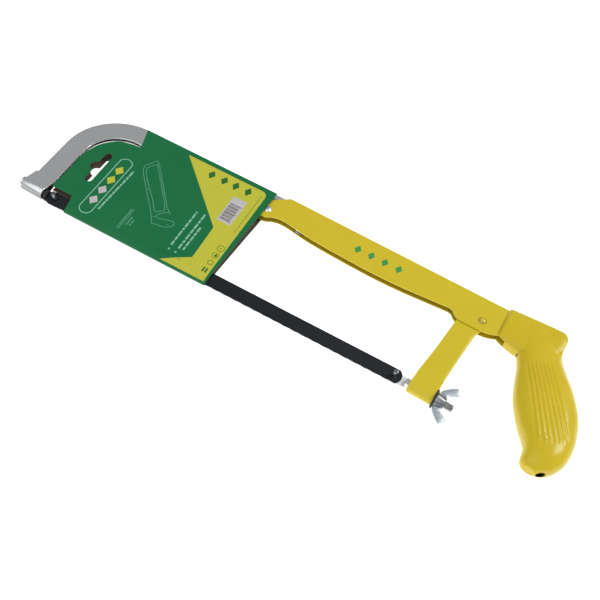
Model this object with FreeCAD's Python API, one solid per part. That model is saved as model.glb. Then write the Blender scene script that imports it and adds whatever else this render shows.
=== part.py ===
import FreeCAD, Part
import math
import os
from FreeCAD import Vector as V

# Adjustable-frame hacksaw with a pistol grip, lying on its side, in a card sleeve.
# Working axes: origin at the blade's front hole, +X along the blade to the handle,
# +Y from the teeth up to the spine, +Z out of the saw's side. Z = 0 is the mid-plane.

# --- Driving dimensions, mm ---
BLADE_C = 300.0          # hole to hole, the 12 inch blade
BLADE_W = 12.7
BLADE_T = 0.65
BLADE_END = 6.6          # blade beyond each hole
BLADE_HOLE_R = 2.15
PIN_R = 1.9
PIN_TOP = 6.9
PIN_LEAN = 10.0
TONGUE_W = 9.2           # flattened end of each blade holder
TONGUE_T = 2.0
TONGUE_TOP = -0.38
SQUARE = 6.0
THREAD_R = 3.0
HOLDER_TILT = -2.8       # both holders lean down towards the handle

BOW_T = 1.2
BOW_W = 4.0
BOW_C = (20.0, 55.0)
BOW_R_OUT = 47.7
BOW_R_IN = 30.2
BOW_FALL = -0.0085       # slope of the bow's top leg
BOW_TAIL_X = 182.0
NOTCH_PITCH = 50.8       # 10 inch and 12 inch blades
NOTCH_SLOT = 12.8
NOTCH_TOP = 88.1
NOSE_X0 = -29.8
NOSE_X1 = -10.3
NOSE_R = 5.5

CH_W = 6.6
CH_T = 1.1
CH_TOP_X = 158.0
CH_TOP_Y = 104.0
CH_FALL = -0.0187
CH_END = 392.0
RIVET_A = (145.7, 83.6)  # adjuster rivet
RIVET_B = (338.4, 79.2)  # post rivet
RIVET_R = 2.0
RIVET_HEAD_R = 3.3
RIVET_HEAD_H = 1.2
SPACER_R = 4.0

POST_W = 4.2
POST_T = 1.2
FOOT_X0 = 313.6
FOOT_X1 = 333.9
FOOT_R = 5.8
FLARE_TOP = 16.5
WASHER_R = 7.6
WASHER_T = 1.2
BOLT_TIP = 49.6          # from the rear blade pin to the thread's end
SQUARE_END = 31.0
DRAW = 4.0               # slack that four turns of the M6 wing nut give

NUT_BASE_R = 6.1
NUT_TOP_R = 4.6
NUT_H = 7.6
WING_T = 2.6

CARD_T = 0.45
CARD_X1 = 145.5
CARD_FOLD_X1 = 141.5       # the open end leans back towards the fold
CARD_TOP = 99.8
CARD_Z = 5.65            # half the sleeve's spread at the spine
CARD_KNEE = (2.0, 2.7)
CARD_FOLD = (-5.95, 1.2)

GRIP_BORE_R = 3.5
GRIP_BORE_L = 30.0

os.makedirs("parts", exist_ok=True)
shapes = {}


def prism(points, z0, z1):
    wire = Part.makePolygon([V(x, y, z0) for x, y in points] + [V(points[0][0], points[0][1], z0)])
    return Part.Face(wire).extrude(V(0, 0, z1 - z0))


def box(x0, x1, y0, y1, z0, z1):
    return Part.makeBox(x1 - x0, y1 - y0, z1 - z0, V(x0, y0, z0))


def cyl(p, d, r, length):
    return Part.makeCylinder(r, length, V(*p), V(*d))


def turned(shape, deg, about):
    out = shape.copy()
    out.rotate(V(about[0], about[1], 0), V(0, 0, 1), deg)
    return out


def arc_pts(c, r, a0, a1, n):
    return [(c[0] + r * math.cos(math.radians(a0 + (a1 - a0) * i / n)),
             c[1] + r * math.sin(math.radians(a0 + (a1 - a0) * i / n))) for i in range(n + 1)]


def curve_pts(points, n):
    """Points along a smooth curve through the given points."""
    c = Part.BSplineCurve()
    c.interpolate([V(x, y, 0) for x, y in points])
    return [(p.x, p.y) for p in c.discretize(n)]


def teardrop(x0, x1, r, y_top, half):
    """Rolled tube whose wall runs on, tangent, into two sheets that meet the flanges."""
    phi = math.atan2(half, y_top)
    a = phi + math.acos(r / math.hypot(y_top, half))
    up = V(x0, r * math.cos(a), r * math.sin(a))
    down = V(x0, r * math.cos(a), -r * math.sin(a))
    arc = Part.Arc(up, V(x0, -r, 0), down).toShape()
    l1 = Part.makeLine(down, V(x0, y_top, -half))
    l2 = Part.makeLine(V(x0, y_top, -half), V(x0, y_top, half))
    l3 = Part.makeLine(V(x0, y_top, half), up)
    return Part.Face(Part.Wire([arc, l1, l2, l3])).extrude(V(x1 - x0, 0, 0))


def dome(p, up, r, h):
    """Low domed rivet head standing on a face."""
    big = (r * r + h * h) / (2.0 * h)
    ball = Part.makeSphere(big, V(p[0], p[1], p[2] + up * (h - big)))
    return ball.common(cyl(p, (0, 0, up), r, h + 0.1))


def rivet(c, half, r, head_r, head_h):
    body = cyl((c[0], c[1], -half), (0, 0, 1), r, 2 * half)
    return body.fuse([dome((c[0], c[1], half), 1, head_r, head_h),
                      dome((c[0], c[1], -half), -1, head_r, head_h)]).removeSplitter()


def square_bar(x0, x1):
    h = SQUARE / 2.0
    k = 0.5
    pts = [(-h, -h + k), (-h + k, -h), (h - k, -h), (h, -h + k),
           (h, h - k), (h - k, h), (-h + k, h), (-h, h - k)]
    wire = Part.makePolygon([V(x0, a, b) for a, b in pts + [pts[0]]])
    return Part.Face(wire).extrude(V(x1 - x0, 0, 0))


def tongue(x_round, x_square):
    """Forged flat end: rounded at x_round, running back to the square shank."""
    s = 1 if x_square > x_round else -1
    c = x_round + s * TONGUE_W / 2.0
    z0 = TONGUE_TOP - TONGUE_T
    lo = min(c, x_square)
    hi = max(c, x_square)
    flat = box(lo, hi, -TONGUE_W / 2, TONGUE_W / 2, z0, TONGUE_TOP)
    return flat.fuse(cyl((c, 0, z0), (0, 0, 1), TONGUE_W / 2, TONGUE_T)).removeSplitter()


def blade_pin(x, side):
    """Straight pin that leans away from the blade's middle."""
    lean = math.radians(PIN_LEAN) * side
    d = (math.sin(lean), 0, math.cos(lean))
    z0 = TONGUE_TOP - TONGUE_T
    start = (x + z0 * math.tan(lean), 0, z0)
    pin = cyl(start, d, PIN_R, (PIN_TOP - z0) / math.cos(lean))
    return pin.common(box(x - 9, x + 9, -9, 9, z0, PIN_TOP - 0.1))


# --- Saw blade: black strip with rounded ends and a toothed lower edge ---
hw = BLADE_W / 2.0
end_r = 7.4
off = math.sqrt(end_r ** 2 - hw ** 2)
mid_l = -BLADE_END + end_r
mid_r = BLADE_C + BLADE_END - end_r
outline = Part.Wire([
    Part.makeLine(V(mid_l - off, hw, 0), V(mid_r + off, hw, 0)),
    Part.Arc(V(mid_r + off, hw, 0), V(mid_r + end_r, 0, 0), V(mid_r + off, -hw, 0)).toShape(),
    Part.makeLine(V(mid_r + off, -hw, 0), V(mid_l - off, -hw, 0)),
    Part.Arc(V(mid_l - off, -hw, 0), V(mid_l - end_r, 0, 0), V(mid_l - off, hw, 0)).toShape()])
blade = Part.Face(outline).extrude(V(0, 0, BLADE_T))
blade.translate(V(0, 0, -BLADE_T / 2))
for hx in (0.0, BLADE_C):
    blade = blade.cut(cyl((hx, 0, -2), (0, 0, 1), BLADE_HOLE_R, 4))
shapes["saw_blade"] = blade


# --- Front bow: folded sheet, web outside, two flanges open to the throat ---
def bow_face(inset, extra, y_end):
    cx, cy = BOW_C
    ro = BOW_R_OUT - inset
    ri = BOW_R_IN - extra
    tail = BOW_TAIL_X
    drop = BOW_FALL * (tail - cx)
    pts = [(cx - ro, y_end)]
    edges = [Part.makeLine(V(cx - ro, y_end, 0), V(cx - ro, cy, 0)),
             Part.Arc(V(cx - ro, cy, 0), V(cx - ro * math.sqrt(0.5), cy + ro * math.sqrt(0.5), 0),
                      V(cx, cy + ro, 0)).toShape(),
             Part.makeLine(V(cx, cy + ro, 0), V(tail, cy + ro + drop, 0)),
             Part.makeLine(V(tail, cy + ro + drop, 0), V(tail, cy + ri + drop, 0)),
             Part.makeLine(V(tail, cy + ri + drop, 0), V(cx, cy + ri, 0)),
             Part.Arc(V(cx, cy + ri, 0), V(cx - ri * math.sqrt(0.5), cy + ri * math.sqrt(0.5), 0),
                      V(cx - ri, cy, 0)).toShape(),
             Part.makeLine(V(cx - ri, cy, 0), V(cx - ri, y_end, 0)),
             Part.makeLine(V(cx - ri, y_end, 0), V(cx - ro, y_end, 0))]
    return Part.Face(Part.Wire(edges))


bow = bow_face(0, 0, 11.0).extrude(V(0, 0, BOW_W))
bow.translate(V(0, 0, -BOW_W / 2))
hook = prism([(172.5, 86.0), (173.5, 79.6), (175.0, 78.4), (179.6, 78.0), (BOW_TAIL_X, 79.6),
              (BOW_TAIL_X, 86.0)], -BOW_W / 2, BOW_W / 2)
flare = teardrop(NOSE_X0, NOSE_X1, NOSE_R, 14.5, BOW_W / 2)
bore = teardrop(NOSE_X0 - 1, NOSE_X1 + 1, NOSE_R - BOW_T, 15.0, BOW_W / 2 - BOW_T)
flare = turned(flare, HOLDER_TILT + 0.8, (0, 0))
bore = turned(bore, HOLDER_TILT + 0.8, (0, 0))
gap = bow_face(BOW_T, 3.0, 6.0).extrude(V(0, 0, BOW_W - 2 * BOW_T))
gap.translate(V(0, 0, -BOW_W / 2 + BOW_T))
hook_gap = box(170, BOW_TAIL_X + 1, 70, 90, -BOW_W / 2 + BOW_T, BOW_W / 2 - BOW_T)
bow = bow.fuse([hook, flare]).cut(bore).cut(gap).cut(hook_gap)
for k in range(2):
    nx = RIVET_A[0] - SPACER_R - 0.3 - k * NOTCH_PITCH
    slot = box(nx + 2, nx + NOTCH_SLOT - 2, 76, NOTCH_TOP, -4, 4)
    slot = slot.fuse(box(nx, nx + NOTCH_SLOT, 76, NOTCH_TOP - 2, -4, 4))
    slot = slot.fuse([cyl((nx + 2, NOTCH_TOP - 2, -4), (0, 0, 1), 2, 8),
                      cyl((nx + NOTCH_SLOT - 2, NOTCH_TOP - 2, -4), (0, 0, 1), 2, 8)])
    bow = bow.cut(slot)
shapes["front_bow"] = bow.removeSplitter()

# --- Front blade holder: square shank in the nose tube, peened head, flat tongue ---
front_pin = blade_pin(0.0, -1)
front = square_bar(NOSE_X0 - 0.2, -7.0)
front = front.fuse([cyl((NOSE_X0 - 1.7, 0, 0), (1, 0, 0), 4.9, 1.5), tongue(5.5, -8.5)])
front = turned(front, HOLDER_TILT + 0.8, (0, 0)).cut(front_pin)
shapes["front_holder"] = front.removeSplitter()
shapes["front_blade_pin"] = front_pin

# --- Tension bolt: flat tongue, square shank, M6 thread ---
rear_pin = blade_pin(BLADE_C, 1)
bolt = tongue(-5.5, 11.5).fuse([square_bar(10.0, SQUARE_END),
                                cyl((SQUARE_END - 0.5, 0, 0), (1, 0, 0), THREAD_R, BOLT_TIP - SQUARE_END - 0.2),
                                Part.makeCone(THREAD_R, THREAD_R - 0.8, 0.8, V(BOLT_TIP - 0.8, 0, 0), V(1, 0, 0))])
bolt.translate(V(BLADE_C, -0.3, 0))
bolt = turned(bolt, HOLDER_TILT, (BLADE_C, -0.3)).cut(rear_pin)
shapes["tension_bolt"] = bolt.removeSplitter()
shapes["rear_blade_pin"] = rear_pin


# --- Rear channel: folded sheet, web on the spine, open towards the blade ---
def top_y(x):
    return CH_TOP_Y + CH_FALL * (x - CH_TOP_X)


lobe = arc_pts(RIVET_A, 8.6, 129.5, 300.0, 14)
lower = curve_pts([(152.6, 77.9), (158.0, 79.5), (165.0, 79.5), (180.0, 77.1), (205.0, 74.7),
                   (230.0, 73.4), (255.0, 72.9), (280.0, 73.9), (300.0, 75.4), (311.0, 76.2)], 26)
skirt = curve_pts([(314.4, 75.6), (317.2, 72.6), (321.0, 70.2), (328.0, 69.6), (340.0, 69.6),
                   (347.0, 70.6), (354.0, 73.4), (362.0, 76.5), (372.0, 78.0)], 18)
side = [(CH_TOP_X, CH_TOP_Y)] + lobe + lower + skirt
side = side + [(CH_END, 79.0), (CH_END, top_y(CH_END))]
channel = prism(side, -CH_W / 2, CH_W / 2)
long_edges = [e for e in channel.Edges
              if e.Length > 200 and min(v.Y for v in e.Vertexes) > top_y(CH_END) - 0.1]
channel = channel.makeFillet(1.3, long_edges)
hollow = box(0, 320, -60, 0, -CH_W / 2 + CH_T, CH_W / 2 - CH_T)
hollow.rotate(V(0, 0, 0), V(0, 0, 1), math.degrees(math.atan(CH_FALL)))
hollow.translate(V(110.0, top_y(110.0) - CH_T, 0))
channel = channel.cut(hollow)
for c in (RIVET_A, RIVET_B):
    channel = channel.cut(cyl((c[0], c[1], -9), (0, 0, 1), RIVET_R, 18))
shapes["rear_channel"] = channel.removeSplitter()

# --- Adjuster: rivet across the channel with a sleeve that the bow's notch seats on ---
shapes["adjuster_rivet"] = rivet(RIVET_A, CH_W / 2, RIVET_R, RIVET_HEAD_R, RIVET_HEAD_H)
inner = CH_W / 2 - CH_T
spacer = cyl((RIVET_A[0], RIVET_A[1], -inner + 0.03), (0, 0, 1), SPACER_R, 2 * inner - 0.06)
shapes["adjuster_spacer"] = spacer.cut(cyl((RIVET_A[0], RIVET_A[1], -4), (0, 0, 1), RIVET_R + 0.05, 8))
shapes["post_rivet"] = rivet(RIVET_B, CH_W / 2, RIVET_R, RIVET_HEAD_R + 0.1, RIVET_HEAD_H + 0.3)

# --- Rear post: folded sheet, web behind, rolled foot that carries the bolt ---
post_side = [(313.7, 6.0), (314.4, 15.0), (317.0, 34.0), (320.1, 65.0), (321.0, 76.0), (322.5, 97.0),
             (349.0, 97.0), (349.5, 76.0), (341.5, 72.5), (338.9, 67.0), (336.3, 37.0), (334.7, 15.0),
             (334.1, 6.0)]
post = prism(post_side, -POST_W / 2, POST_W / 2)
back = [e for e in post.Edges
        if min(v.X for v in e.Vertexes) > 333 and max(v.Y for v in e.Vertexes) < 67.5]
post = post.makeFillet(1.5, [e for e in back if e.Length > 7.5])
hollow = prism([(300.0, -5.0), (332.2, -5.0), (337.6, 67.2), (340.8, 73.4), (351.0, 77.5),
                (351.0, 99.0), (300.0, 99.0)], -POST_W / 2 + POST_T, POST_W / 2 - POST_T)
foot = teardrop(FOOT_X0, FOOT_X1, FOOT_R, FLARE_TOP, POST_W / 2)
foot_bore = teardrop(FOOT_X0 - 1, FOOT_X1 + 1, FOOT_R - POST_T, FLARE_TOP + 0.5, POST_W / 2 - POST_T)
for s in (foot, foot_bore):
    s.translate(V(0, -0.3, 0))
foot = turned(foot, HOLDER_TILT, (BLADE_C, -0.3))
foot_bore = turned(foot_bore, HOLDER_TILT, (BLADE_C, -0.3))
post = post.cut(hollow).fuse(foot).cut(foot_bore)
post = post.cut(cyl((RIVET_B[0], RIVET_B[1], -9), (0, 0, 1), RIVET_R, 18))
shapes["rear_post"] = post.removeSplitter()

# --- Washer and wing nut on the bolt's thread ---
x_w = FOOT_X1 - BLADE_C + 0.05
washer = cyl((x_w, 0, 0), (1, 0, 0), WASHER_R, WASHER_T).cut(cyl((x_w - 1, 0, 0), (1, 0, 0), 3.3, 4))
x_n = x_w + WASHER_T + 0.1
wing = [(3.8, 0.6), (8.6, 0.9), (11.2, 2.9), (14.6, 6.2), (17.2, 9.8), (17.4, 10.7), (16.8, 11.4),
        (12.0, 13.7), (11.1, 13.6), (10.2, 12.3), (8.4, 9.2), (7.0, 7.1), (3.8, 6.6)]
nut = Part.makeCone(NUT_BASE_R, NUT_TOP_R, NUT_H, V(x_n, 0, 0), V(1, 0, 0))
for sgn in (1, -1):
    blank = prism([(x_n + a, sgn * r) for r, a in wing], -WING_T / 2, WING_T / 2)
    nut = nut.fuse(blank)
nut = nut.cut(cyl((x_n - 1, 0, 0), (1, 0, 0), THREAD_R + 0.05, NUT_H + 4))
for name, s in (("flat_washer", washer), ("wing_nut", nut)):
    s.translate(V(BLADE_C, -0.3, 0))
    shapes[name] = turned(s, HOLDER_TILT, (BLADE_C, -0.3))


# --- Handle: cast pistol grip, socket over the channel's end ---
def oval(f, b, hz, power):
    """Closed section through a front point and a back point, hz either side of the mid-plane."""
    cx = (f[0] + b[0]) / 2.0
    cy = (f[1] + b[1]) / 2.0
    ux = (b[0] - f[0]) / 2.0
    uy = (b[1] - f[1]) / 2.0
    pts = []
    for i in range(20):
        a = 2.0 * math.pi * i / 20
        c = math.copysign(abs(math.cos(a)) ** power, math.cos(a))
        s = math.copysign(abs(math.sin(a)) ** power, math.sin(a))
        pts.append(V(cx + ux * c, cy + uy * c, hz * s))
    curve = Part.BSplineCurve()
    curve.interpolate(pts, True)
    return Part.Wire([curve.toShape()])


grip = [((366.0, 78.0), (402.0, 93.0), 9.6), ((372.0, 67.5), (405.5, 79.5), 10.4),
        ((376.6, 57.0), (412.2, 69.2), 11.6), ((379.6, 45.0), (422.6, 56.2), 12.8),
        ((383.6, 31.6), (431.6, 41.0), 13.4), ((389.0, 20.6), (436.4, 27.0), 13.5),
        ((396.0, 9.6), (438.5, 12.0), 13.3), ((402.6, 1.0), (437.0, -2.4), 12.4),
        ((405.8, -6.0), (431.8, -12.4), 10.8), ((406.8, -14.6), (426.0, -17.2), 8.0),
        ((409.6, -18.4), (420.4, -19.8), 4.4)]
handle = Part.makeLoft([oval(f, b, hz, 0.86) for f, b, hz in grip], True, False)
socket = [(353.3, 72.9, 102.2, 6.4), (366.0, 68.6, 102.4, 7.6), (380.0, 68.0, 102.5, 9.0),
          (394.0, 74.0, 102.5, 9.4), (399.2, 77.0, 101.8, 9.2), (402.6, 80.0, 97.6, 8.4)]
block = Part.makeLoft([oval((x, lo), (x, hi), hz, 0.55) for x, lo, hi, hz in socket], True, False)
handle = handle.fuse(block)
pocket = prism([(352.0, 60.0), (352.0, top_y(352.0)), (CH_END, top_y(CH_END)), (CH_END, 79.0),
                (372.0, 78.0), (362.0, 76.5), (357.5, 60.0)], -CH_W / 2, CH_W / 2)
handle = handle.cut(pocket)
for dx, dy, zz, rr in ((356.9, 81.5, 10.4, 4.2), (387.5, 92.0, 12.6, 4.6)):
    for sgn in (1, -1):
        handle = handle.cut(Part.makeSphere(rr, V(dx, dy, sgn * zz)))
studs = []
for px, py, half in ((356.9, 81.5, 6.35), (387.5, 92.0, 8.15)):
    stud = cyl((px, py, -half), (0, 0, 1), 1.9, 2 * half)
    studs.append(stud)
    handle = handle.cut(stud)
    shapes["rear_channel"] = shapes["rear_channel"].cut(stud)
shapes["handle_rivets"] = Part.makeCompound(studs)
ux, uy = 0.5, -0.866
mouth = (423.9, -17.4)
handle = handle.cut(cyl((mouth[0] - ux * GRIP_BORE_L, mouth[1] - uy * GRIP_BORE_L, 0), (ux, uy, 0),
                        GRIP_BORE_R, GRIP_BORE_L + 12))
shapes["handle_casting"] = handle.removeSplitter()

# --- Card sleeve: one board folded round the teeth, die-cut to the bow, with a hang slot ---
fy, fz = CARD_FOLD
ky, kz = CARD_KNEE


def sleeve_half(dz):
    return [(fy, fz - dz), (ky, kz - dz), (CARD_TOP, CARD_Z - dz)]


def yz_line(a, b):
    return Part.makeLine(V(-12, a[0], a[1]), V(-12, b[0], b[1]))


o = sleeve_half(0)
i = sleeve_half(CARD_T)
ring = [yz_line(o[0], o[1]), yz_line(o[1], o[2]), yz_line(o[2], i[2]), yz_line(i[2], i[1]),
        yz_line(i[1], i[0]),
        Part.Arc(V(-12, fy, fz - CARD_T), V(-12, fy - fz + CARD_T, 0), V(-12, fy, CARD_T - fz)).toShape(),
        yz_line((fy, CARD_T - fz), (ky, CARD_T - kz)), yz_line((ky, CARD_T - kz), (CARD_TOP, CARD_T - CARD_Z)),
        yz_line((CARD_TOP, CARD_T - CARD_Z), (CARD_TOP, -CARD_Z)), yz_line((CARD_TOP, -CARD_Z), (ky, -kz)),
        yz_line((ky, -kz), (fy, -fz)),
        Part.Arc(V(-12, fy, -fz), V(-12, fy - fz, 0), V(-12, fy, fz)).toShape()]
sleeve = Part.Face(Part.Wire(Part.__sortEdges__(ring))).extrude(V(CARD_X1 + 12, 0, 0))
cut = [(12.9, -12.0), (CARD_FOLD_X1, -12.0), (CARD_X1, CARD_TOP), (CARD_X1, 110.0), (21.2, 110.0), (21.2, 101.0)]
cut = cut + curve_pts([(27.0, 80.1), (18.0, 79.1), (7.3, 75.3), (-2.9, 64.2), (-7.7, 48.8),
                       (-8.0, 34.4), (-8.4, 18.0), (-9.0, 8.4)], 24) + [(9.6, 8.4), (11.5, 4.0)]
sleeve = sleeve.common(prism(cut, -12, 12))
slot = box(7.6, 13.8, 30.2, 57.8, -12, 12)
slot = slot.fuse([cyl((10.7, 30.2, -12), (0, 0, 1), 3.1, 24), cyl((10.7, 57.8, -12), (0, 0, 1), 3.1, 24),
                  cyl((8.4, 44.0, -12), (0, 0, 1), 5.0, 24)])
sleeve = sleeve.cut(slot)
shapes["card_sleeve"] = sleeve.removeSplitter()

# --- Rest pose: the origin under the middle of the saw, on the surface it lies on ---
whole = Part.makeCompound(list(shapes.values())).optimalBoundingBox(False, False)
shift = V(-(whole.XMin + whole.XMax) / 2.0, -(whole.YMin + whole.YMax) / 2.0, -whole.ZMin)
for name, shape in shapes.items():
    shape.translate(shift)
    shape.exportStep("parts/" + name + ".step")
    bb = shape.BoundBox
    print(name, shape.isValid(), len(shape.Solids), round(shape.Volume, 1),
          [round(v, 2) for v in (bb.XMin, bb.XMax, bb.YMin, bb.YMax, bb.ZMin, bb.ZMax)])
print("shift", [round(v, 4) for v in shift], "size", round(whole.XLength, 1), round(whole.YLength, 1),
      round(whole.ZLength, 1))
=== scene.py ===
import math
import bmesh
import bpy
from mathutils import Matrix, Vector, geometry


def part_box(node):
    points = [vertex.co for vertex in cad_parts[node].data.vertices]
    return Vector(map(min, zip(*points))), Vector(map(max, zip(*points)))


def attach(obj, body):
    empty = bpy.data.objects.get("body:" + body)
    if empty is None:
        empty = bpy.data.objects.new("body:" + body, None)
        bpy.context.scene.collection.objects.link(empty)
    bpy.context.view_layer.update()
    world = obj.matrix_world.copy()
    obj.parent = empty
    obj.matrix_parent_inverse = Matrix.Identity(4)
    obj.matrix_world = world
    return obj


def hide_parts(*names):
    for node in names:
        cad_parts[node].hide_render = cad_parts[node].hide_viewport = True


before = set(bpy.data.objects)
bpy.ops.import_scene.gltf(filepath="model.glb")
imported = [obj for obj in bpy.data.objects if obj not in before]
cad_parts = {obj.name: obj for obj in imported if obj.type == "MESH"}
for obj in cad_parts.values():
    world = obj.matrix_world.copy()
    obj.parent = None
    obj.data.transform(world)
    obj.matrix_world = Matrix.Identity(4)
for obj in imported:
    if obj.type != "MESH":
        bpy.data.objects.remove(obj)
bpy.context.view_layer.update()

# --- Axes: millimetres from the blade's front hole, +X to the handle, +Y to the spine ---
MM = 0.001
BLADE_SPAN = 300.0
blade_low, blade_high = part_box("saw_blade")
ORIGIN = (blade_low + blade_high) / 2 - Vector((BLADE_SPAN / 2 * MM, 0, 0))
BOLT_FOOT = (BLADE_SPAN, -0.3)
BOLT_TILT = math.radians(-2.8)
CHANNEL_HALF = 3.3


def to_row(p):
    return ORIGIN + Vector(p) * MM


def on_bolt(a, r, t):
    """A point a along the bolt's axis from the rear pin, r across it and t out of the side."""
    c = math.cos(BOLT_TILT)
    s = math.sin(BOLT_TILT)
    return (BOLT_FOOT[0] + a * c - r * s, BOLT_FOOT[1] + a * s + r * c, t)


# --- Mesh helpers ---
def new_mesh(name, verts, faces, materials, indices=None, smooth=35.0):
    mesh = bpy.data.meshes.new(name)
    mesh.from_pydata([to_row(v) for v in verts], [], faces)
    for material in materials:
        mesh.materials.append(material)
    if indices:
        mesh.polygons.foreach_set("material_index", indices)
    obj = bpy.data.objects.new(name, mesh)
    bpy.context.scene.collection.objects.link(obj)
    tidy_mesh(obj, smooth)
    return obj


def tidy_mesh(obj, smooth):
    bm = bmesh.new()
    bm.from_mesh(obj.data)
    bmesh.ops.remove_doubles(bm, verts=bm.verts, dist=1e-7)
    bmesh.ops.recalc_face_normals(bm, faces=bm.faces)
    bm.to_mesh(obj.data)
    bm.free()
    obj.data.shade_smooth()
    obj.data.set_sharp_from_angle(angle=math.radians(smooth))


def join(objs, name):
    """One object from several closed shells, each with its own finish."""
    bm = bmesh.new()
    for k, o in enumerate(objs):
        start = len(bm.faces)
        bm.from_mesh(o.data)
        bm.faces.ensure_lookup_table()
        for face in bm.faces[start:]:
            face.material_index = k
    mesh = bpy.data.meshes.new(name)
    bm.to_mesh(mesh)
    bm.free()
    for o in objs:
        mesh.materials.append(o.data.materials[0])
    for o in objs:
        bpy.data.objects.remove(o)
    obj = bpy.data.objects.new(name, mesh)
    bpy.context.scene.collection.objects.link(obj)
    return obj


def apply_modifiers(obj):
    bpy.context.view_layer.update()
    done = obj.evaluated_get(bpy.context.evaluated_depsgraph_get())
    mesh = bpy.data.meshes.new_from_object(done)
    old = obj.data
    obj.modifiers.clear()
    obj.data = mesh
    bpy.data.meshes.remove(old)


def boolean(obj, other, how):
    m = obj.modifiers.new("cut", "BOOLEAN")
    m.operation = how
    m.solver = "EXACT"
    m.object = other
    apply_modifiers(obj)
    bpy.data.objects.remove(other)


def bevel(obj, width, segments=2, angle=30.0):
    m = obj.modifiers.new("edge", "BEVEL")
    m.width = width * MM
    m.segments = segments
    m.limit_method = "ANGLE"
    m.angle_limit = math.radians(angle)
    m.harden_normals = False
    m.use_clamp_overlap = width < 0.45
    return m


def densify(loop, step):
    """The same closed outline with no edge longer than step."""
    out = []
    for a, b in zip(loop, loop[1:] + loop[:1]):
        n = max(1, math.ceil(math.dist(a, b) / step))
        out += [(a[0] + (b[0] - a[0]) * k / n, a[1] + (b[1] - a[1]) * k / n) for k in range(n)]
    return out


def inside(p, loop):
    hit = False
    j = len(loop) - 1
    for i, (x, y) in enumerate(loop):
        xj, yj = loop[j]
        if (y > p[1]) != (yj > p[1]) and p[0] < (xj - x) * (p[1] - y) / (yj - y) + x:
            hit = not hit
        j = i
    return hit


def fill(outline, holes=(), inner=()):
    """Flat triangles over an outline with holes: (points, triangles)."""
    points = []
    edges = []
    for loop in [outline] + list(holes):
        start = len(points)
        points += [Vector(p) for p in loop]
        edges += [(start + i, start + (i + 1) % len(loop)) for i in range(len(loop))]
    for p in inner:
        if inside(p, outline) and not any(inside(p, h) for h in holes):
            points.append(Vector(p))
    verts, _, faces, *_ = geometry.delaunay_2d_cdt(points, edges, [], 0, 1e-5)
    kept = []
    for f in faces:
        c = sum((verts[i] for i in f), Vector((0, 0))) / len(f)
        if inside(c, outline) and not any(inside(c, h) for h in holes):
            kept.append(tuple(f))
    return verts, kept


def plate(outline, top, bottom, holes=(), inner=()):
    """A closed plate between two surfaces: (verts, faces, face kinds 0 top, 1 bottom, 2 edge)."""
    points, tris = fill(outline, holes, inner)
    n = len(points)
    verts = [top(p[0], p[1]) for p in points] + [bottom(p[0], p[1]) for p in points]
    faces = []
    kinds = []
    seen = set()
    for f in tris:
        faces.append(f)
        faces.append(tuple(i + n for i in reversed(f)))
        kinds += [0, 1]
        for i in range(3):
            seen.add((f[i], f[(i + 1) % 3]))
    for a, b in seen:
        if (b, a) not in seen:
            faces.append((b, a, a + n, b + n))
            kinds.append(2)
    return verts, faces, kinds


def arc(c, r, a0, a1, n):
    return [(c[0] + r * math.cos(math.radians(a0 + (a1 - a0) * i / n)),
             c[1] + r * math.sin(math.radians(a0 + (a1 - a0) * i / n))) for i in range(n + 1)]


def spline(points, per):
    """A smooth line through points, with per steps in each stretch."""
    out = []
    n = len(points)
    for i in range(n - 1):
        p0 = Vector(points[max(i - 1, 0)])
        p1 = Vector(points[i])
        p2 = Vector(points[i + 1])
        p3 = Vector(points[min(i + 2, n - 1)])
        for k in range(per):
            t = k / per
            out.append(0.5 * ((2 * p1) + (p2 - p0) * t + (2 * p0 - 5 * p1 + 4 * p2 - p3) * t * t
                              + (3 * p1 - p0 - 3 * p2 + p3) * t ** 3))
    out.append(Vector(points[-1]))
    return [tuple(p) for p in out]


def lathe(profile, place, around=48):
    """Turns (a, r) points about the bolt's axis; the ends are closed."""
    verts = []
    faces = []
    for a, r in profile:
        for k in range(around):
            w = 2 * math.pi * k / around
            verts.append(place(a, r * math.cos(w), r * math.sin(w)))
    for i in range(len(profile) - 1):
        for k in range(around):
            j = (k + 1) % around
            faces.append((i * around + k, i * around + j, (i + 1) * around + j, (i + 1) * around + k))
    faces.append(tuple(range(around - 1, -1, -1)))
    last = (len(profile) - 1) * around
    faces.append(tuple(range(last, last + around)))
    return verts, faces


def ramp(x, lo, hi):
    t = min(max((x - lo) / (hi - lo), 0.0), 1.0)
    return t * t * (3 - 2 * t)


# --- Materials ---
def nodes_of(name):
    material = bpy.data.materials.new(name)
    material.use_nodes = True
    tree = material.node_tree
    return material, tree, tree.nodes["Principled BSDF"]


def noise(tree, scale, detail=4.0, rough=0.55, stretch=(1, 1, 1)):
    coords = tree.nodes.new("ShaderNodeTexCoord")
    mapping = tree.nodes.new("ShaderNodeMapping")
    mapping.inputs["Scale"].default_value = stretch
    tex = tree.nodes.new("ShaderNodeTexNoise")
    tex.inputs["Scale"].default_value = scale
    tex.inputs["Detail"].default_value = detail
    tex.inputs["Roughness"].default_value = rough
    tree.links.new(coords.outputs["Object"], mapping.inputs["Vector"])
    tree.links.new(mapping.outputs["Vector"], tex.inputs["Vector"])
    return tex.outputs["Fac"]


def between(tree, fac, low, high, lo=0.35, hi=0.65):
    """Spreads a noise value over low to high."""
    node = tree.nodes.new("ShaderNodeMapRange")
    node.inputs["From Min"].default_value = lo
    node.inputs["From Max"].default_value = hi
    node.inputs["To Min"].default_value = low
    node.inputs["To Max"].default_value = high
    tree.links.new(fac, node.inputs["Value"])
    return node.outputs["Result"]


def blend_colour(tree, fac, one, two):
    node = tree.nodes.new("ShaderNodeMix")
    node.data_type = "RGBA"
    node.inputs["A"].default_value = (*one, 1)
    node.inputs["B"].default_value = (*two, 1)
    tree.links.new(fac, node.inputs["Factor"])
    return node.outputs["Result"]


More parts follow.
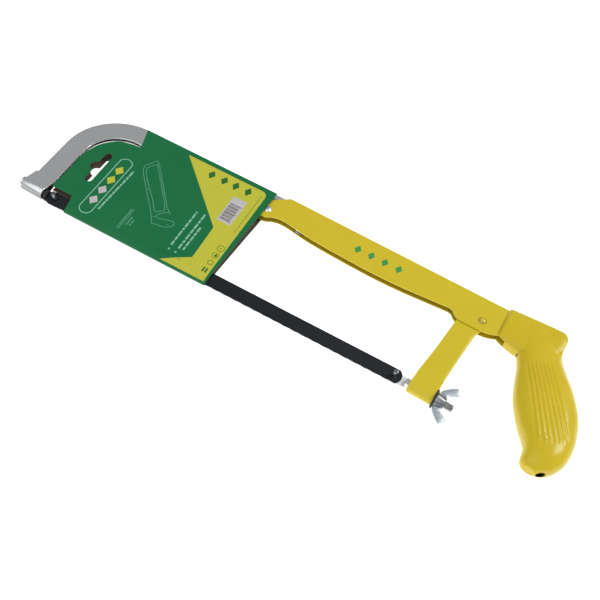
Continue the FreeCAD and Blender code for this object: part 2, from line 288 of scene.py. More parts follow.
def paint_shade_below(material, low, high, floor):
    """Paints shade into a finish towards the underside: full colour above high, floor times it below low
    (m).
    """
    tree = material.node_tree
    shader = tree.nodes["Principled BSDF"]
    source = shader.inputs["Base Color"].links[0].from_socket
    coords = tree.nodes.new("ShaderNodeTexCoord")
    split = tree.nodes.new("ShaderNodeSeparateXYZ")
    tree.links.new(coords.outputs["Object"], split.inputs["Vector"])
    fac = between(tree, split.outputs["Z"], floor, 1.0, low, high)
    node = tree.nodes.new("ShaderNodeMix")
    node.data_type = "RGBA"
    node.blend_type = "MULTIPLY"
    node.inputs["Factor"].default_value = 1.0
    tree.links.new(source, node.inputs["A"])
    grey = tree.nodes.new("ShaderNodeCombineColor")
    for channel in ("Red", "Green", "Blue"):
        tree.links.new(fac, grey.inputs[channel])
    tree.links.new(grey.outputs["Color"], node.inputs["B"])
    tree.links.new(node.outputs["Result"], shader.inputs["Base Color"])


def add_bump(tree, shader, height, strength, distance):
    node = tree.nodes.new("ShaderNodeBump")
    node.inputs["Strength"].default_value = strength
    node.inputs["Distance"].default_value = distance
    tree.links.new(height, node.inputs["Height"])
    tree.links.new(node.outputs["Normal"], shader.inputs["Normal"])


def surface(name, one, two, rough, metal=0.0, coat=0.0, patch=60.0, grain=1800.0, bump=0.1,
            stretch=(1, 1, 1), specular=0.5):
    """A finish with slow colour patches, uneven gloss and a fine grain."""
    material, tree, shader = nodes_of(name)
    shader.inputs["Metallic"].default_value = metal
    shader.inputs["Coat Weight"].default_value = coat
    shader.inputs["Coat Roughness"].default_value = 0.08
    shader.inputs["Specular IOR Level"].default_value = specular
    fac = between(tree, noise(tree, patch, stretch=stretch), 0.0, 1.0, 0.3, 0.7)
    tree.links.new(blend_colour(tree, fac, one, two), shader.inputs["Base Color"])
    gloss = between(tree, noise(tree, patch * 2.7, stretch=stretch), rough[0], rough[1])
    tree.links.new(gloss, shader.inputs["Roughness"])
    add_bump(tree, shader, noise(tree, grain, 3.0, stretch=stretch), bump, 0.0002)
    return material


ENAMEL = surface("yellow_enamel", (0.730, 0.568, 0.023), (0.765, 0.594, 0.027), (0.24, 0.34),
                 coat=0.1, patch=35, grain=420, bump=0.05, specular=0.35)
GRIP = surface("grip_enamel", (0.690, 0.520, 0.016), (0.725, 0.548, 0.020), (0.20, 0.30),
               coat=0.12, patch=40, grain=330, bump=0.06, specular=0.30)
PLATE = surface("bow_plating", (0.84, 0.855, 0.865), (0.87, 0.88, 0.89), (0.20, 0.25), metal=1.0,
                patch=40, grain=2600, bump=0.02)
# A darker, rougher copy of the bow plating for the nose tube: painted shade that dims the tube's
# reflections.
SHADED_NOSE_PLATE = surface("nose_plating_shaded", (0.78, 0.79, 0.80), (0.83, 0.84, 0.85), (0.26, 0.32), metal=1.0,
                     patch=40, grain=2600, bump=0.02)
ZINC = surface("zinc_plating", (0.66, 0.76, 0.81), (0.76, 0.85, 0.89), (0.28, 0.40), metal=1.0,
               patch=160, grain=1500, bump=0.10)
STEEL = surface("bright_steel", (0.70, 0.70, 0.69), (0.80, 0.80, 0.79), (0.26, 0.40), metal=1.0,
                patch=220, grain=1900, bump=0.14)
TONGUE_ZINC = surface("satin_zinc", (0.86, 0.87, 0.87), (0.92, 0.93, 0.93), (0.50, 0.60), metal=1.0,
                      patch=220, grain=1900, bump=0.10)
THREAD_STEEL = surface("thread_steel", (0.36, 0.36, 0.355), (0.48, 0.48, 0.475), (0.24, 0.36), metal=1.0,
                       patch=260, grain=1900, bump=0.12)
HUB_ZINC = surface("hub_zinc", (0.26, 0.27, 0.275), (0.38, 0.40, 0.41), (0.24, 0.36), metal=1.0,
                   patch=260, grain=1900, bump=0.12)
PIN_STEEL = surface("pin_steel", (0.20, 0.205, 0.21), (0.30, 0.305, 0.31), (0.22, 0.36), metal=1.0,
                    patch=260, grain=1900, bump=0.12)
BLACK_OXIDE = surface("black_oxide", (0.018, 0.019, 0.020), (0.034, 0.034, 0.034), (0.34, 0.50),
                      metal=0.3, patch=200, grain=1500, bump=0.2)
LACQUER = surface("blade_lacquer", (0.0125, 0.0150, 0.0190), (0.0170, 0.0200, 0.0250), (0.34, 0.44),
                  patch=45, grain=1600, bump=0.08, stretch=(0.25, 1, 1), specular=0.25)
WASHER = surface("dark_washer", (0.018, 0.020, 0.017), (0.03, 0.032, 0.028), (0.45, 0.6),
                 patch=150, grain=1200, bump=0.1)
# A near-black finish for the bore's walls and one spot on the grip: painted shadow.
PAINTED_BORE_SHADE = surface("bore_shadow", (0.004, 0.003, 0.002), (0.007, 0.005, 0.003), (0.6, 0.8),
                 patch=150, grain=1200, bump=0.1, specular=0.1)
GREEN = surface("print_green", (0.0030, 0.170, 0.052), (0.0045, 0.185, 0.058), (0.26, 0.34),
                patch=28, grain=2600, bump=0.03, specular=0.40)
YELLOW_INK = surface("print_yellow", (0.610, 0.610, 0.050), (0.650, 0.625, 0.046), (0.28, 0.36),
                     patch=30, grain=2600, bump=0.03)
PALE_INK = surface("print_pale", (0.26, 0.60, 0.42), (0.30, 0.64, 0.46), (0.34, 0.42),
                   patch=60, grain=2600, bump=0.03)
FAINT_INK = surface("print_faint", (0.095, 0.38, 0.21), (0.120, 0.42, 0.24), (0.34, 0.42),
                    patch=60, grain=2600, bump=0.03)
WHITE_INK = surface("print_white", (0.60, 0.56, 0.57), (0.66, 0.62, 0.63), (0.34, 0.42),
                    patch=60, grain=2600, bump=0.03)
GREY_INK = surface("print_grey", (0.13, 0.125, 0.13), (0.18, 0.175, 0.18), (0.34, 0.42),
                   patch=60, grain=2600, bump=0.03)
MARK_INK = surface("print_mark", (0.018, 0.15, 0.020), (0.025, 0.17, 0.026), (0.34, 0.42),
                   patch=60, grain=2600, bump=0.03)
LINE_INK = surface("print_line", (0.16, 0.24, 0.020), (0.20, 0.28, 0.026), (0.34, 0.42),
                   patch=60, grain=2600, bump=0.03)
BOARD = surface("raw_board", (0.13, 0.095, 0.070), (0.17, 0.125, 0.095), (0.75, 0.9),
                patch=300, grain=2400, bump=0.3, specular=0.2)
MARK = surface("channel_mark", (0.040, 0.34, 0.070), (0.055, 0.38, 0.085), (0.28, 0.36),
               patch=60, grain=900, bump=0.05)


# The rivet's own enamel copy carries a painted shade ring round the base of its dome.
RIVET_ENAMEL = surface("rivet_enamel", (0.730, 0.568, 0.023), (0.765, 0.594, 0.027), (0.20, 0.28),
                       coat=0.6, patch=120, grain=900, bump=0.05)
# A copy of the post's enamel for the channel, which carries painted shade on its lower flanges.
CHANNEL_ENAMEL = ENAMEL.copy()
CHANNEL_ENAMEL.name = "channel_enamel"
# Painted shade: finishes darkened with height above the surface the saw lies on, in metres, so lower
# sides and undersides carry shade in their colour, and the plating carries dimmer reflections in its
# colour.
paint_shade_below(RIVET_ENAMEL, 0.0168, 0.0184, 0.45)
paint_shade_below(CHANNEL_ENAMEL, 0.0135, 0.0162, 0.66)
paint_shade_below(PLATE, 0.0105, 0.0152, 0.22)
paint_shade_below(SHADED_NOSE_PLATE, 0.0150, 0.0176, 0.36)
paint_shade_below(GRIP, 0.0030, 0.0130, 0.72)


def dress(node, material, width=0.3, segments=2, angle=28.0):
    """Gives a CAD node its finish and softly rounded edges."""
    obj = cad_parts[node]
    obj.data.materials.clear()
    obj.data.materials.append(material)
    if width:
        weld = obj.modifiers.new("weld", "WELD")
        weld.merge_threshold = 1e-6
        bevel(obj, width, segments, angle)
    return obj


NOSE_TOP = 5.9
PEEN_END = -29.0

bow = dress("front_bow", PLATE, 0.5, 3)
# Bow faces below NOSE_TOP take the darker nose plating, painted shade on the tube.
bow.data.materials.append(SHADED_NOSE_PLATE)
for face in bow.data.polygons:
    if ((bow.matrix_world @ face.center - ORIGIN) / MM).y < NOSE_TOP:
        face.material_index = 1
holder = dress("front_holder", BLACK_OXIDE, 0.2)
holder.data.materials.append(PLATE)
for face in holder.data.polygons:
    if ((holder.matrix_world @ face.center - ORIGIN) / MM).x < PEEN_END:
        face.material_index = 1
dress("front_blade_pin", PIN_STEEL, 0.35)
dress("rear_blade_pin", PIN_STEEL, 0.35)
dress("rear_channel", CHANNEL_ENAMEL, 0.3)
dress("rear_post", ENAMEL, 0.44, 3, 20.0)
dress("post_rivet", RIVET_ENAMEL, 0)
dress("adjuster_rivet", ZINC, 0)
dress("adjuster_spacer", ZINC, 0.2)
dress("flat_washer", WASHER, 0.2)
dress("handle_rivets", GRIP, 0.3)

# --- Saw blade: teeth point to the nose, with a wavy set ---
TOOTH = 25.4 / 24
HALF_W = 6.35
END_R = 7.4
TOOTH_DEPTH = 0.6
SET = 0.22
WAVE = 8.5
BLADE_T = 0.65
BLADE_HOLE_R = 2.15


def build_blade():
    left = 0.8
    right = BLADE_SPAN - 0.8
    reach = math.degrees(math.asin(HALF_W / END_R))
    outline = arc((right, 0), END_R, reach, -reach, 16)
    count = int((right - left) / TOOTH)
    for k in range(count):
        x = right + 3.0 - k * TOOTH
        outline.append((x - 0.30, -HALF_W + TOOTH_DEPTH))
        outline.append((x - TOOTH, -HALF_W))
    outline += arc((left, 0), END_R, 180 + reach, 180 - reach, 16)
    holes = [arc((x, 0), BLADE_HOLE_R, 0, 350, 35) for x in (0.0, BLADE_SPAN)]
    inner = [(x * 4.0, y) for x in range(0, 76) for y in (-5.2, -3.5, 3.5)]

    def skin(side):
        def place(x, y):
            wave = SET * math.sin(x * 2 * math.pi / WAVE) * ramp(-y, 5.1, 5.9)
            return (x, y, side * BLADE_T / 2 + wave)
        return place

    verts, faces, _ = plate(outline, skin(1), skin(-1), holes, inner)
    return new_mesh("blade_body", verts, faces, [LACQUER])


blade = build_blade()
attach(blade, "bolt")
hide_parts("saw_blade")

# --- Tension bolt: forged tongue, square shank, helical M6 thread ---
TONGUE_HALF = 4.6
TONGUE_TOP = -0.38
TONGUE_LOW = -2.38
SQUARE_FROM = 10.2
SQUARE_TO = 31.0
BOLT_TIP = 49.6
PITCH = 1.0


def build_bolt():
    pin_hole = arc((0, 0.3), 1.9, 0, 345, 23)
    outline = arc((-5.5 + TONGUE_HALF, 0), TONGUE_HALF, 90, 270, 20)
    outline += [(8.6, -TONGUE_HALF), (10.4, -TONGUE_HALF + 0.5), (11.5, -3.0), (11.5, 3.0),
                (10.4, TONGUE_HALF - 0.5), (8.6, TONGUE_HALF)]

    def flat(z):
        return lambda a, r: on_bolt(a, r, z)

    verts, faces, _ = plate(outline, flat(TONGUE_TOP), flat(TONGUE_LOW), [pin_hole])
    tongue = new_mesh("tongue", verts, faces, [TONGUE_ZINC])
    bevel(tongue, 0.25, 2, 40)
    apply_modifiers(tongue)
    half = 3.0
    k = 0.5
    corner = [(-half, -half + k), (-half + k, -half), (half - k, -half), (half, -half + k),
              (half, half - k), (half - k, half), (-half + k, half), (-half, half - k)]
    stations = [(SQUARE_FROM, 0.88), (SQUARE_FROM + 0.5, 1.0), (SQUARE_TO - 0.6, 1.0), (SQUARE_TO, 0.9)]
    verts = [on_bolt(a, y * s, z * s) for a, s in stations for y, z in corner]
    faces = [(i * 8 + j, i * 8 + (j + 1) % 8, (i + 1) * 8 + (j + 1) % 8, (i + 1) * 8 + j)
             for i in range(len(stations) - 1) for j in range(8)]
    faces += [tuple(range(7, -1, -1)), tuple(range(24, 32))]
    shank = new_mesh("shank", verts, faces, [STEEL])
    around = 40
    verts = []
    steps = 150
    start = SQUARE_TO - 0.5
    for i in range(steps + 1):
        a = start + (BOLT_TIP - start) * i / steps
        for j in range(around):
            w = 2 * math.pi * j / around
            phase = (a / PITCH - j / around) % 1.0
            ridge = 1 - abs(2 * phase - 1)
            r = 2.48 + 0.5 * min(ridge * 1.5, 1.0)
            r -= 0.55 * ramp(a, BOLT_TIP - 0.9, BOLT_TIP)
            verts.append(on_bolt(a, r * math.cos(w), r * math.sin(w)))
    faces = [(i * around + j, i * around + (j + 1) % around, (i + 1) * around + (j + 1) % around,
              (i + 1) * around + j) for i in range(steps) for j in range(around)]
    faces += [tuple(range(around - 1, -1, -1)), tuple(range(steps * around, (steps + 1) * around))]
    thread = new_mesh("thread", verts, faces, [THREAD_STEEL])
    return join([tongue, shank, thread], "bolt_body")


bolt = build_bolt()
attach(bolt, "bolt")
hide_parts("tension_bolt")

# --- Wing nut: turned hub and two pressed wings ---
NUT_FROM = 33.95 + 1.2 + 0.1
NUT_H = 7.6
WING = [(3.2, 0.8), (6.0, 0.55), (8.8, 1.0), (11.4, 3.0), (14.6, 6.1), (17.0, 9.6), (17.3, 10.6),
        (16.7, 11.4), (12.2, 13.6), (11.2, 13.5), (10.2, 12.2), (8.4, 9.2), (6.6, 7.2), (3.2, 6.9)]


def build_nut():
    profile = [(0, 5.6), (0.35, 6.1), (1.3, 6.0), (5.6, 5.0), (7.2, 4.7), (NUT_H, 4.2), (NUT_H, 3.02),
               (0, 3.02)]
    around = 56
    verts = []
    for a, r in profile:
        for j in range(around):
            w = 2 * math.pi * j / around
            verts.append(on_bolt(NUT_FROM + a, r * math.cos(w), r * math.sin(w)))
    n = len(profile)
    faces = [(i * around + j, i * around + (j + 1) % around, ((i + 1) % n) * around + (j + 1) % around,
              ((i + 1) % n) * around + j) for i in range(n) for j in range(around)]
    hub = new_mesh("nut_body", verts, faces, [ZINC])
    line = spline(WING, 4)
    for side in (1, -1):
        def skin(face):
            def place(r, a):
                thick = 1.3 - 0.35 * ramp(r, 6.0, 16.0)
                return on_bolt(NUT_FROM + a, side * r, face * thick)
            return place
        verts, faces, _ = plate(line, skin(1), skin(-1))
        wing = new_mesh("wing", verts, faces, [ZINC])
        bevel(wing, 0.5, 3, 50)
        apply_modifiers(wing)
        boolean(hub, wing, "UNION")
    tidy_mesh(hub, 40)
    # Faces within 6.15 mm of the axis take a darker copy of the zinc than the wings, though hub and wings
    # are one casting.
    hub.data.materials.append(HUB_ZINC)
    axis = Vector((math.cos(BOLT_TILT), math.sin(BOLT_TILT), 0))
    for face in hub.data.polygons:
        d = (face.center - to_row((*BOLT_FOOT, 0))) / MM
        if (d - axis * d.dot(axis)).length < 6.15:
            face.material_index = 1
    return hub


nut = build_nut()
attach(nut, "nut")
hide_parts("wing_nut")

# --- Handle: cast grip with seven flutes a side, socket over the channel ---
SECTIONS = [((366.0, 78.0), (402.0, 93.0), 9.6), ((372.0, 67.5), (405.5, 79.5), 10.4),
            ((376.6, 57.0), (412.2, 69.2), 11.6), ((379.6, 45.0), (422.6, 56.2), 12.8),
            ((383.6, 31.6), (431.6, 41.0), 13.4), ((389.0, 20.6), (436.4, 27.0), 13.5),
            ((396.0, 9.6), (438.5, 12.0), 13.3), ((402.6, 1.0), (437.0, -2.4), 12.4),
            ((405.8, -6.0), (431.8, -12.4), 10.8), ((406.8, -14.6), (426.0, -17.2), 8.0),
            ((409.6, -18.4), (420.4, -19.8), 4.4)]
SOCKET = [(353.3, 72.9, 102.2, 6.4), (366.0, 68.6, 102.4, 7.6), (380.0, 68.0, 102.5, 9.0),
          (394.0, 74.0, 102.5, 9.4), (399.2, 77.0, 101.8, 9.2), (402.6, 80.0, 97.6, 8.4)]
VOXEL = 0.55
FLUTE_TOP = Vector((390.0, 61.0))
FLUTE_END = Vector((421.5, 4.8))
FLUTES = 7
FLUTE_DEPTH = 0.58
BOSS = (415.8, 5.0)
DIMPLES = ((356.9, 81.0, 4.6), (387.5, 91.5, 5.4))
SOCKET_LIP = (353.0, 355.4)
MOUTH = (423.9, -17.4)
MOUTH_UP = (0.5, -0.866)
BORE_R = 3.5
# A painted shadow: the spot below is coloured near black where the socket's underside meets the grip.
GAP_SHADOW_SPOT = (372.2, 65.8)  # a dark-painted spot where the socket's underside meets the grip


def ring_tube(rings):
    n = len(rings[0])
    verts = [p for ring in rings for p in ring]
    faces = [(i * n + j, i * n + (j + 1) % n, (i + 1) * n + (j + 1) % n, (i + 1) * n + j)
             for i in range(len(rings) - 1) for j in range(n)]
    last = (len(rings) - 1) * n
    faces += [tuple(range(n - 1, -1, -1)), tuple(range(last, last + n))]
    return verts, faces


def oval(f, b, hz, power, count=64):
    out = []
    for i in range(count):
        w = 2 * math.pi * i / count
        c = math.copysign(abs(math.cos(w)) ** power, math.cos(w))
        s = math.copysign(abs(math.sin(w)) ** power, math.sin(w))
        x = (f[0] + b[0]) / 2 + (b[0] - f[0]) / 2 * c
        y = (f[1] + b[1]) / 2 + (b[1] - f[1]) / 2 * c
        out.append((x, y, hz * s))
    return out


def flute_depth(x, y):
    """How deep the flutes cut at a point of the grip's side."""
    run = FLUTE_END - FLUTE_TOP
    along = run.normalized()
    across = Vector((-along.y, along.x))
    d = Vector((x, y)) - FLUTE_TOP
    t = d.dot(along) / run.length
    half = 9.9 + 3.5 * t
    u = d.dot(across) / half
    if abs(u) >= 1 or t < -0.1 or t > 1.1:
        return 0.0
    bow = 0.05 * (1 - u * u)
    ends = ramp(t, -0.04 - bow, 0.05 - bow) * (1 - ramp(t, 0.93 + bow, 1.02 + bow))
    groove = (0.5 - 0.5 * math.cos(2 * math.pi * FLUTES * (u + 1) / 2)) ** 0.8
    return FLUTE_DEPTH * groove * ends


def build_handle():
    line = spline([(*f, *b, h) for f, b, h in SECTIONS], 6)
    rings = [oval(p[0:2], p[2:4], p[4], 0.88) for p in line]
    verts, faces = ring_tube(rings)
    grip = new_mesh("grip", verts, faces, [GRIP])
    line = spline(SOCKET, 6)
    verts, faces = ring_tube([oval((x, lo), (x, hi), hz, 0.5) for x, lo, hi, hz in line])
    socket = new_mesh("socket", verts, faces, [GRIP])
    handle = join([grip, socket], "handle_body")
    m = handle.modifiers.new("skin", "REMESH")
    m.mode = "VOXEL"
    m.voxel_size = VOXEL * MM
    m = handle.modifiers.new("soften", "SMOOTH")
    m.factor = 0.5
    m.iterations = 10
    apply_modifiers(handle)
    for v in handle.data.vertices:
        p = (v.co - ORIGIN) / MM
        side = 1 if p.z > 0 else -1
        face = ramp(abs(p.z), 4.0, 8.0)
        cut = flute_depth(p.x, p.y) * face
        boss = ((p.x - BOSS[0]) / 3.4) ** 2 + ((p.y - BOSS[1]) / 2.3) ** 2
        cut -= 0.55 * (1 - ramp(boss, 0.5, 1.3)) * face
        for dx, dy, rad in DIMPLES:
            far = math.hypot(p.x - dx, p.y - dy) / rad
            cut += 0.45 * (1 - ramp(far, 0.2, 1.0)) * face
        lip = 0.6 * (1 - ramp(p.x, *SOCKET_LIP))
        cut += lip * max(abs(p.z) - CHANNEL_HALF, 0.0)
        v.co.z -= side * cut * MM
    pocket = [(352.0, 60.0), (352.0, 100.37), (392.0, 99.62), (392.0, 79.0), (372.0, 78.0), (362.0, 76.5),
              (357.5, 60.0)]
    verts, faces, _ = plate(pocket, lambda x, y: (x, y, CHANNEL_HALF), lambda x, y: (x, y, -CHANNEL_HALF))
    boolean(handle, new_mesh("pocket", verts, faces, [GRIP]), "DIFFERENCE")
    ux, uy = MOUTH_UP

    def along_bore(a, r, t):
        return (MOUTH[0] + ux * a - uy * r, MOUTH[1] + uy * a + ux * r, t)

    verts, faces = lathe([(-30.0, BORE_R), (0.2, BORE_R), (1.2, 4.3), (12.0, 4.6)], along_bore)
    boolean(handle, new_mesh("bore", verts, faces, [GRIP]), "DIFFERENCE")
    # The bore's walls and a spot where the socket meets the grip take a near-black painted shadow.
    handle.data.materials.clear()
    handle.data.materials.append(GRIP)
    handle.data.materials.append(PAINTED_BORE_SHADE)
    for face in handle.data.polygons:
        p = (face.center - ORIGIN) / MM
        a = (p.x - MOUTH[0]) * ux + (p.y - MOUTH[1]) * uy
        r = (p.y - MOUTH[1]) * ux - (p.x - MOUTH[0]) * uy
        gap = math.hypot(p.x - GAP_SHADOW_SPOT[0], p.y - GAP_SHADOW_SPOT[1]) < 1.1 and abs(p.z) < 5.0
        if gap or (math.hypot(r, p.z) < 3.6 and -32.0 < a < -0.4):
            face.material_index = 1
    handle.data.shade_smooth()
    handle.data.set_sharp_from_angle(angle=math.radians(50))
    return handle


handle = build_handle()
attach(handle, "frame")
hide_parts("handle_casting")

# --- Card sleeve: one board, laid out flat as (x, s), s measured from the fold ---
CARD_T = 0.45
FOLD = (-5.95, 0.975)
KNEE = (2.0, 2.475)
TOP = (99.8, 5.425)
CARD_RIGHT = 145.5
CARD_RIGHT_FOLD = 141.7
ARC_LEN = FOLD[1] * math.pi / 2
LEG_1 = math.hypot(KNEE[0] - FOLD[0], KNEE[1] - FOLD[1])
LEG_2 = math.hypot(TOP[0] - KNEE[0], TOP[1] - KNEE[1])


def sheet_s(y):
    if y < KNEE[0]:
        return ARC_LEN + LEG_1 * (y - FOLD[0]) / (KNEE[0] - FOLD[0])
    return ARC_LEN + LEG_1 + LEG_2 * (y - KNEE[0]) / (TOP[0] - KNEE[0])


def sheet_point(x, s, out):
    """The place of sheet point (x, s), out to the outside of the sleeve."""
    side = 1 if s >= 0 else -1
    s = abs(s)
    if s < ARC_LEN:
        w = s / FOLD[1]
        r = FOLD[1] + out
        return (x, FOLD[0] - r * math.cos(w), side * r * math.sin(w))
    s -= ARC_LEN
    a, b, length = (FOLD, KNEE, LEG_1) if s < LEG_1 else (KNEE, TOP, LEG_2)
    t = s / LEG_1 if s < LEG_1 else (s - LEG_1) / LEG_2
    dy = (b[0] - a[0]) / length
    dz = (b[1] - a[1]) / length
    return (x, a[0] + (b[0] - a[0]) * t - dz * out, side * (a[1] + (b[1] - a[1]) * t + dy * out))


def hang_slot():
    near = [(13.8, 57.8)] + arc((10.7, 57.8), 3.1, 0, 180, 12)[1:]
    near += arc((8.4, 44.0), 5.0, 99, 261, 14)
    near += arc((10.7, 30.2), 3.1, 180, 360, 12)
    return near


def build_card():
    near = [(12.9, -5.9), (11.5, 4.0), (9.6, 8.4), (-9.0, 8.4)]
    near += spline([(-8.4, 18.0), (-8.0, 34.4), (-7.7, 48.8), (-2.9, 64.2), (7.3, 75.3), (18.0, 79.1),
                    (27.0, 80.1)], 6)
    near += [(21.2, TOP[0]), (CARD_RIGHT, TOP[0])]
    half = [(x, sheet_s(y)) for x, y in near]
    outline = [(12.9, 0.0)] + half + [(CARD_RIGHT_FOLD, 0.0)] + [(x, -s) for x, s in reversed(half)]
    slot = [(x, sheet_s(y)) for x, y in hang_slot()]
    holes = [slot, [(x, -s) for x, s in reversed(slot)]]
    rows = [0.0, 0.4, 0.8, 1.2, ARC_LEN, 3.0, ARC_LEN + LEG_1] + [12.0 + 5.0 * k for k in range(20)]
    inner = [(14.0 + 4.1 * k, s * side) for k in range(-4, 32) for s in rows for side in (1, -1)
             if s or side > 0]
    verts, faces, kinds = plate(densify(outline, 1.1), lambda x, s: sheet_point(x, s, CARD_T / 2),
                                lambda x, s: sheet_point(x, s, -CARD_T / 2), holes, inner)
    return new_mesh("card_body", verts, faces, [GREEN, BOARD], [0 if k == 0 else 1 for k in kinds])


def ink(name, outlines, material, side=1, lift=0.05):
    """Printed areas on the outside of the sleeve, given as (x, y) outlines."""
    verts = []
    faces = []
    for outline in outlines:
        rows = [1.0, 2.0, 3.0] + [5.0 * k for k in range(-1, 20)]
        inner = [(x * 5.0, y) for x in range(0, 30) for y in rows]
        v, f, _ = plate(densify(outline, 1.5),
                        lambda x, y: sheet_point(x, side * sheet_s(y), CARD_T / 2 + lift),
                        lambda x, y: sheet_point(x, side * sheet_s(y), CARD_T / 2 - 0.1), (), inner)
        faces += [tuple(i + len(verts) for i in face) for face in f]
        verts += v
    obj = new_mesh(name, verts, faces, [material])
    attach(obj, "frame")
    return obj


def bar(a, b, width):
    """A straight stroke from a to b."""
    d = Vector((b[0] - a[0], b[1] - a[1])).normalized() * width / 2
    return [(a[0] + d.y, a[1] - d.x), (b[0] + d.y, b[1] - d.x),
            (b[0] - d.y, b[1] + d.x), (a[0] - d.y, a[1] + d.x)]


def stroke(points, width, closed=False):
    ends = points[1:] + (points[:1] if closed else [])
    return [bar(a, b, width) for a, b in zip(points, ends)]


card = build_card()
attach(card, "frame")
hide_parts("card_sleeve")


def box(x0, x1, y0, y1):
    return [(x0, y0), (x1, y0), (x1, y1), (x0, y1)]


def rhomb(x, y, rx, ry):
    return [(x - rx, y), (x, y - ry), (x + rx, y), (x, y + ry)]


def dashes(x, y0, y1, width, lengths, gap, lean=0.0):
    """Short strokes up the card at x, in place of a line of small print."""
    out = []
    y = y0
    k = 0
    while y < y1:
        end = min(y + lengths[k % len(lengths)], y1)
        shift = lean * (y - y0)
        out.append(box(x + shift - width / 2, x + shift + width / 2, y, end))
        y = end + gap
        k += 1
    return out


def ring(x, y, r):
    points = arc((x, y), r, 0, 330, 11)
    return stroke(points, 0.55, True)


SPINE_LINE = [(46.4, 76.0), (43.4, 70.6), (41.0, 67.0), (41.1, 63.1), (43.1, 59.4), (55.3, 45.6),
              (69.3, 30.0), (73.7, 24.5), (77.2, 19.3), (81.0, 20.6), (84.8, 21.1), (89.0, 22.3),
              (92.0, 24.9), (92.5, 28.4), (90.7, 30.0), (87.7, 29.4), (84.0, 28.1), (79.0, 26.2),
              (76.2, 26.9), (76.4, 29.2), (78.0, 31.8), (82.3, 35.7)]
THROAT_LINE = [(48.8, 72.8), (44.6, 67.8), (43.4, 65.2), (44.3, 61.9), (50.5, 54.3), (57.0, 47.6),
               (65.4, 39.3), (71.8, 31.6), (73.7, 30.8), (77.3, 34.2), (78.8, 36.5)]
BLADE_LINE = [(46.4, 76.0), (49.6, 73.3), (60.4, 60.8), (78.8, 39.5), (82.6, 36.2), (84.9, 34.7)]
LOWER_LINE = [(48.8, 72.8), (49.3, 71.2), (60.3, 58.7), (75.0, 41.6), (78.8, 36.5)]


def print_card():
    corner = arc((134.2, 90.2), 5.2, 90, 0, 8)
    field = [(64.1, 95.4)] + corner + [(139.8, -5.0), (100.5, -5.0), (121.1, 9.0), (119.9, 42.4)]
    ink("print_field", [field], YELLOW_INK)
    ink("print_panel", [box(117.4, 130.1, 50.7, 78.0)], WHITE_INK, lift=0.09)
    bars = []
    y = 52.9
    for k in range(17):
        wide = (0.45, 0.8, 0.35, 1.0)[(k * 7 + k // 3) % 4]
        bars.append(box(118.6, 129.0 if k % 8 == 0 else 127.6, y, min(y + wide, 71.6)))
        y += wide + (0.4, 0.7, 0.5)[(k * 5) % 3]
        if y > 71.4:
            break
    ink("print_bars", bars, GREY_INK, lift=0.13)
    badge = arc((26.6, 57.9), 5.9, 20, 160, 10) + arc((26.0, 5.6), 5.9, 200, 340, 10)
    ink("print_badge", stroke(badge, 0.8, True), PALE_INK)
    ink("print_tokens_pale", [rhomb(26.2, 14.5, 3.9, 5.0), rhomb(26.3, 26.5, 3.9, 5.0)], WHITE_INK)
    ink("print_tokens_gold", [rhomb(26.4, 38.5, 3.9, 5.0), rhomb(26.6, 50.0, 3.9, 5.0)], YELLOW_INK)
    ink("print_strap", dashes(34.9, 8.6, 55.8, 1.5, (3.2, 5.4, 2.6, 4.4), 0.7, 0.036), PALE_INK)
    small = dashes(56.8, 1.6, 23.2, 1.1, (1.6, 1.1, 2.2), 0.55)
    small += dashes(58.4, 1.6, 23.2, 0.8, (2.4, 1.3), 0.6)
    small += dashes(61.4, 7.6, 16.6, 1.3, (1.4, 2.0), 0.6) + dashes(64.2, 8.4, 14.4, 1.1, (1.8, 1.2), 0.7)
    ink("print_small", small, FAINT_INK)
    drawing = stroke(SPINE_LINE, 0.6) + stroke(THROAT_LINE, 0.6) + stroke(BLADE_LINE, 0.6)
    drawing += stroke(LOWER_LINE, 0.6) + stroke([(55.3, 45.6), (57.0, 47.6)], 0.5)
    drawing += stroke([(73.7, 24.5), (76.2, 26.9)], 0.5) + [rhomb(88.6, 25.0, 0.6, 0.6)]
    ink("print_drawing", drawing, FAINT_INK)
    lines = dashes(101.2, 10.2, 48.6, 1.5, (4.6, 3.8, 5.4, 2.4), 1.0)
    lines += dashes(107.9, 10.2, 49.6, 1.5, (5.4, 3.0, 6.2, 4.2), 1.0)
    lines += dashes(111.6, 11.0, 36.6, 1.5, (3.4, 5.2, 4.4), 1.0)
    lines += [rhomb(101.7, 6.2, 1.1, 1.1), rhomb(107.8, 6.2, 1.1, 1.1)]
    ink("print_lines", lines, PALE_INK)
    marks = [rhomb(91.0, 87.6, 3.1, 4.6), rhomb(102.8, 87.8, 3.1, 4.6), rhomb(113.4, 88.0, 3.1, 4.6),
             rhomb(124.8, 88.3, 3.1, 4.6)]
    ink("print_marks", marks, MARK_INK, lift=0.09)
    thin = dashes(136.2, 46.8, 90.4, 0.55, (2.6, 1.8, 3.6, 2.2), 0.5)
    thin += ring(135.5, 27.8, 2.9) + ring(135.5, 19.8, 2.6) + ring(135.5, 12.2, 2.2)
    thin += stroke([(134.3, 27.8), (136.7, 27.8)], 0.6)
    ink("print_thin", thin, LINE_INK, lift=0.09)
    dark = [box(133.6, 135.0, 1.9, 6.3), box(136.0, 137.4, 1.9, 6.3), rhomb(135.8, 19.8, 1.4, 1.6)]
    ink("print_dark", dark, MARK_INK, lift=0.12)


print_card()


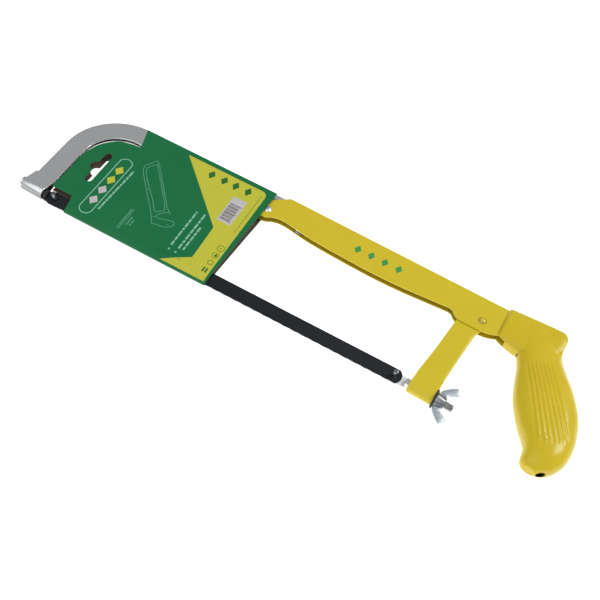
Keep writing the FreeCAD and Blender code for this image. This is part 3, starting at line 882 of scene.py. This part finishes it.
def mark_channel():
    """Four plain green stamps on the channel's side."""
    verts = []
    faces = []
    for x in (226.2, 238.2, 250.2, 262.4):
        v, f, _ = plate(rhomb(x, 87.4, 2.9, 4.3), lambda x, y: (x, y, CHANNEL_HALF + 0.04),
                        lambda x, y: (x, y, CHANNEL_HALF - 0.2))
        faces += [tuple(i + len(verts) for i in face) for face in f]
        verts += v
    stamps = new_mesh("channel_stamps", verts, faces, [MARK])
    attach(stamps, "frame")


mark_channel()

# --- Stage: pale floor, soft light, and a camera on the blade side ---
CAMERA_AT = (359.7, -407.5, 636.7)
CAMERA_AIM = (-0.1915, 0.5482, -0.8141)
CAMERA_UP = (-0.4486, 0.6889, 0.5694)
LENS = 61.56
SKY = 0.36
FLOOR_GLOW = 1.02


def add_camera():
    data = bpy.data.cameras.new("camera")
    data.lens = LENS
    data.sensor_width = 36.0
    data.clip_start = 0.01
    camera = bpy.data.objects.new("camera", data)
    bpy.context.scene.collection.objects.link(camera)
    back = -Vector(CAMERA_AIM).normalized()
    right = Vector(CAMERA_UP).cross(back).normalized()
    up = back.cross(right)
    turn = Matrix((right, up, back)).transposed().to_4x4()
    camera.matrix_world = Matrix.Translation(to_row(CAMERA_AT)) @ turn
    bpy.context.scene.camera = camera


def add_light(name, place, size, radiance):
    """A square softbox that faces the saw and looks as bright as radiance."""
    data = bpy.data.lights.new(name, "AREA")
    data.shape = "SQUARE"
    data.size = size
    data.energy = radiance * math.pi * size * size
    light = bpy.data.objects.new(name, data)
    bpy.context.scene.collection.objects.link(light)
    place = Vector(place)
    light.location = place
    light.rotation_euler = (-place).to_track_quat("-Z", "Y").to_euler()


def add_stage():
    mesh = bpy.data.meshes.new("floor")
    h = 4.0
    corners = [(x, y, -0.0002) for x, y in ((-h, -h), (h, -h), (h, h), (-h, h))]
    mesh.from_pydata(corners, [], [(0, 1, 2, 3)])
    white = surface("pale_floor", (0.53, 0.53, 0.53), (0.56, 0.56, 0.56), (0.7, 0.8), patch=3,
                    grain=60, bump=0.02, specular=0.1)
    shader = white.node_tree.nodes["Principled BSDF"]
    shader.inputs["Emission Color"].default_value = (1, 1, 1, 1)
    shader.inputs["Emission Strength"].default_value = FLOOR_GLOW
    mesh.materials.append(white)
    floor = bpy.data.objects.new("floor", mesh)
    bpy.context.scene.collection.objects.link(floor)
    world = bpy.data.worlds.new("sky")
    bpy.context.scene.world = world
    world.use_nodes = True
    world.node_tree.nodes["Background"].inputs["Color"].default_value = (0.98, 0.99, 1.0, 1)
    world.node_tree.nodes["Background"].inputs["Strength"].default_value = SKY
    add_light("softbox_near", (-0.30, -0.75, 1.15), 1.75, 0.78)
    add_light("softbox_far", (0.95, 0.75, 1.20), 0.70, 7.5)


add_camera()
add_stage()
bpy.context.scene.view_settings.view_transform = "Standard"
